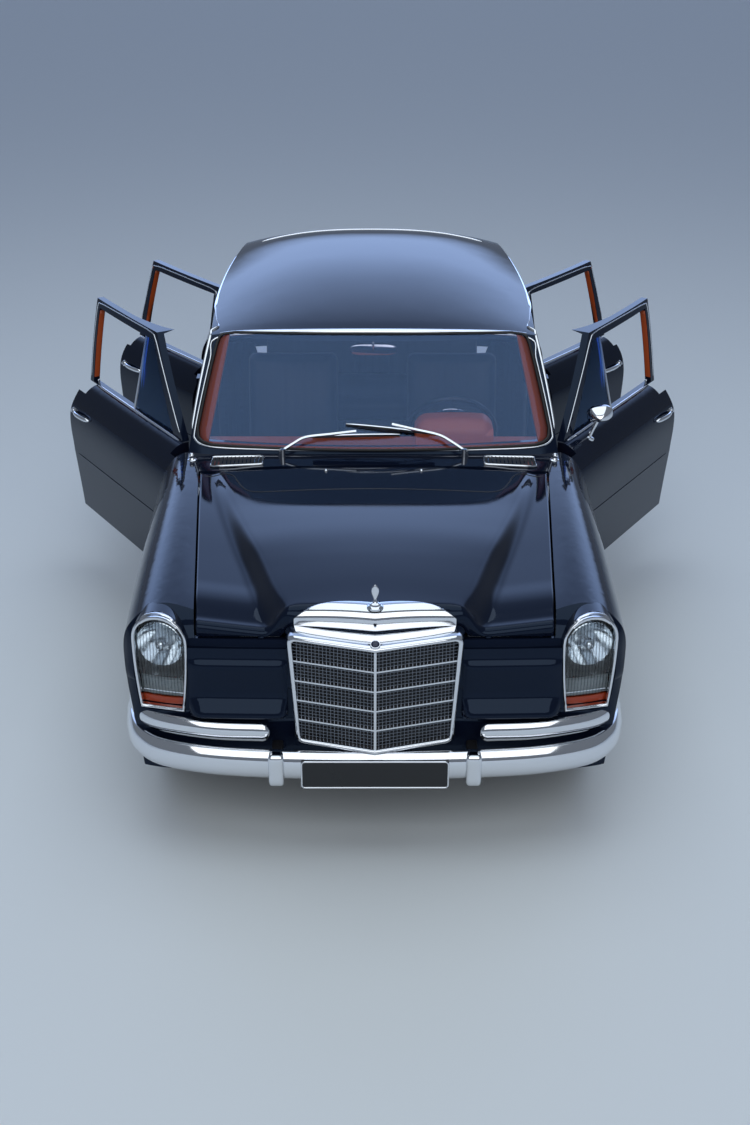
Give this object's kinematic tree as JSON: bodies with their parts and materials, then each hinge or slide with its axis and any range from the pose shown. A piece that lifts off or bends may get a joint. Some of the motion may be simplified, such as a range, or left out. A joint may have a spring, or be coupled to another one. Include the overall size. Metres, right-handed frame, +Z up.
{
  "type": "limousine",
  "caption": "Large black four-door saloon limousine with all doors open, upright chrome grille, upright oval headlamps, double bumpers and a leather cabin.",
  "frame": {"origin": "on the floor under the middle of the car's overall box", "axes": "-Y is the way the car faces, +X its left side, +Z up"},
  "size_m": [3.0554, 5.54, 1.5006],
  "materials": {
    "body_paint": "gloss",
    "chrome": "polished",
    "clear_glass": "clear",
    "lamp_glass": "fluted",
    "red_lens": "moulded",
    "tyre_rubber": "matte",
    "dark_steel": "satin",
    "cast_metal": "rough",
    "forged_steel": "machined",
    "tan_leather": "soft",
    "dark_leather": "pleated",
    "wheel_plastic": "gloss",
    "plate_black": "satin"
  },
  "bodies": {
    "car_body": {"cowl": "body_paint", "dashboard": "tan_leather", "door_pillars": "body_paint", "driveline": "cast_metal", "engine": "cast_metal", "exhaust": "forged_steel", "floor": "dark_steel", "front_axle": "dark_steel", "front_bumper": "chrome", "front_plate": "plate_black", "front_seats": "dark_leather", "front_wings": "body_paint", "fuel_tank": "dark_steel", "grille": "chrome", "headlamp_glasses": "lamp_glass", "headlamp_housings": "chrome", "nose_panel": "body_paint", "rear_axle": "cast_metal", "rear_bumper": "chrome", "rear_panels": "body_paint", "rear_quarters": "body_paint", "rear_seat": "dark_leather", "roof": "body_paint", "screens": "clear_glass", "sills": "body_paint", "tail_lamps": "red_lens", "wipers": "chrome"},
    "front_door_left": {"front_door_left": "body_paint", "vent_glass_left": "clear_glass", "door_mirror": "chrome"},
    "front_door_right": {"front_door_right": "body_paint", "vent_glass_right": "clear_glass"},
    "rear_door_left": {"rear_door_left": "body_paint"},
    "rear_door_right": {"rear_door_right": "body_paint"},
    "bonnet": {"bonnet": "body_paint"},
    "boot_lid": {"boot_lid": "body_paint"},
    "knuckle_left": {"knuckle_left": "forged_steel"},
    "knuckle_right": {"knuckle_right": "forged_steel"},
    "steering_wheel": {"steering_wheel": "wheel_plastic"},
    "wheel_front_left": {"wheel_front_left": "body_paint", "tyre_front_left": "tyre_rubber"},
    "wheel_front_right": {"wheel_front_right": "body_paint", "tyre_front_right": "tyre_rubber"},
    "wheel_rear_left": {"wheel_rear_left": "body_paint", "tyre_rear_left": "tyre_rubber"},
    "wheel_rear_right": {"wheel_rear_right": "body_paint", "tyre_rear_right": "tyre_rubber"}
  },
  "joints": [
    {"name": "front_door_left_hinge", "type": "hinge", "parent": "car_body", "child": "front_door_left", "pos_m": [0.923, -0.992, 0.695], "axis": [0, 0, -1], "range_deg": [-32, 38]},
    {"name": "front_door_right_hinge", "type": "hinge", "parent": "car_body", "child": "front_door_right", "pos_m": [-0.923, -0.992, 0.695], "axis": [0, 0, 1], "range_deg": [-32, 38]},
    {"name": "rear_door_left_hinge", "type": "hinge", "parent": "car_body", "child": "rear_door_left", "pos_m": [0.923, 0.136, 0.695], "axis": [0, 0, -1], "range_deg": [-38, 32]},
    {"name": "rear_door_right_hinge", "type": "hinge", "parent": "car_body", "child": "rear_door_right", "pos_m": [-0.923, 0.136, 0.695], "axis": [0, 0, 1], "range_deg": [-38, 32]},
    {"name": "bonnet_hinge", "type": "hinge", "parent": "car_body", "child": "bonnet", "pos_m": [0, -1.284, 0.96754], "axis": [-1, 0, 0], "range_deg": [0, 50]},
    {"name": "boot_hinge", "type": "hinge", "parent": "car_body", "child": "boot_lid", "pos_m": [0, 1.724, 0.98058], "axis": [1, 0, 0], "range_deg": [0, 55]},
    {"name": "kingpin_left", "type": "hinge", "parent": "car_body", "child": "knuckle_left", "pos_m": [0.65, -1.885, 0.365], "axis": [0, 0, 1], "range_deg": [-34, 34]},
    {"name": "kingpin_right", "type": "hinge", "parent": "car_body", "child": "knuckle_right", "pos_m": [-0.65, -1.885, 0.365], "axis": [0, 0, 1], "range_deg": [-34, 34]},
    {"name": "steering_wheel_turn", "type": "hinge", "parent": "car_body", "child": "steering_wheel", "pos_m": [0.365, -0.665, 0.918], "axis": [0, 0.9272, 0.3746], "range_deg": [-510, 510]},
    {"name": "wheel_front_left_spin", "type": "hinge", "parent": "knuckle_left", "child": "wheel_front_left", "pos_m": [0.7935, -1.885, 0.365], "axis": [1, 0, 0], "continuous": true},
    {"name": "wheel_front_right_spin", "type": "hinge", "parent": "knuckle_right", "child": "wheel_front_right", "pos_m": [-0.7935, -1.885, 0.365], "axis": [1, 0, 0], "continuous": true},
    {"name": "wheel_rear_left_spin", "type": "hinge", "parent": "car_body", "child": "wheel_rear_left", "pos_m": [0.7905, 1.315, 0.365], "axis": [1, 0, 0], "continuous": true},
    {"name": "wheel_rear_right_spin", "type": "hinge", "parent": "car_body", "child": "wheel_rear_right", "pos_m": [-0.7905, 1.315, 0.365], "axis": [1, 0, 0], "continuous": true}
  ],
  "couplings": [
    {"joint": "kingpin_right", "follows": "kingpin_left", "ratio": 1},
    {"joint": "steering_wheel_turn", "follows": "kingpin_left", "ratio": 15}
  ]
}
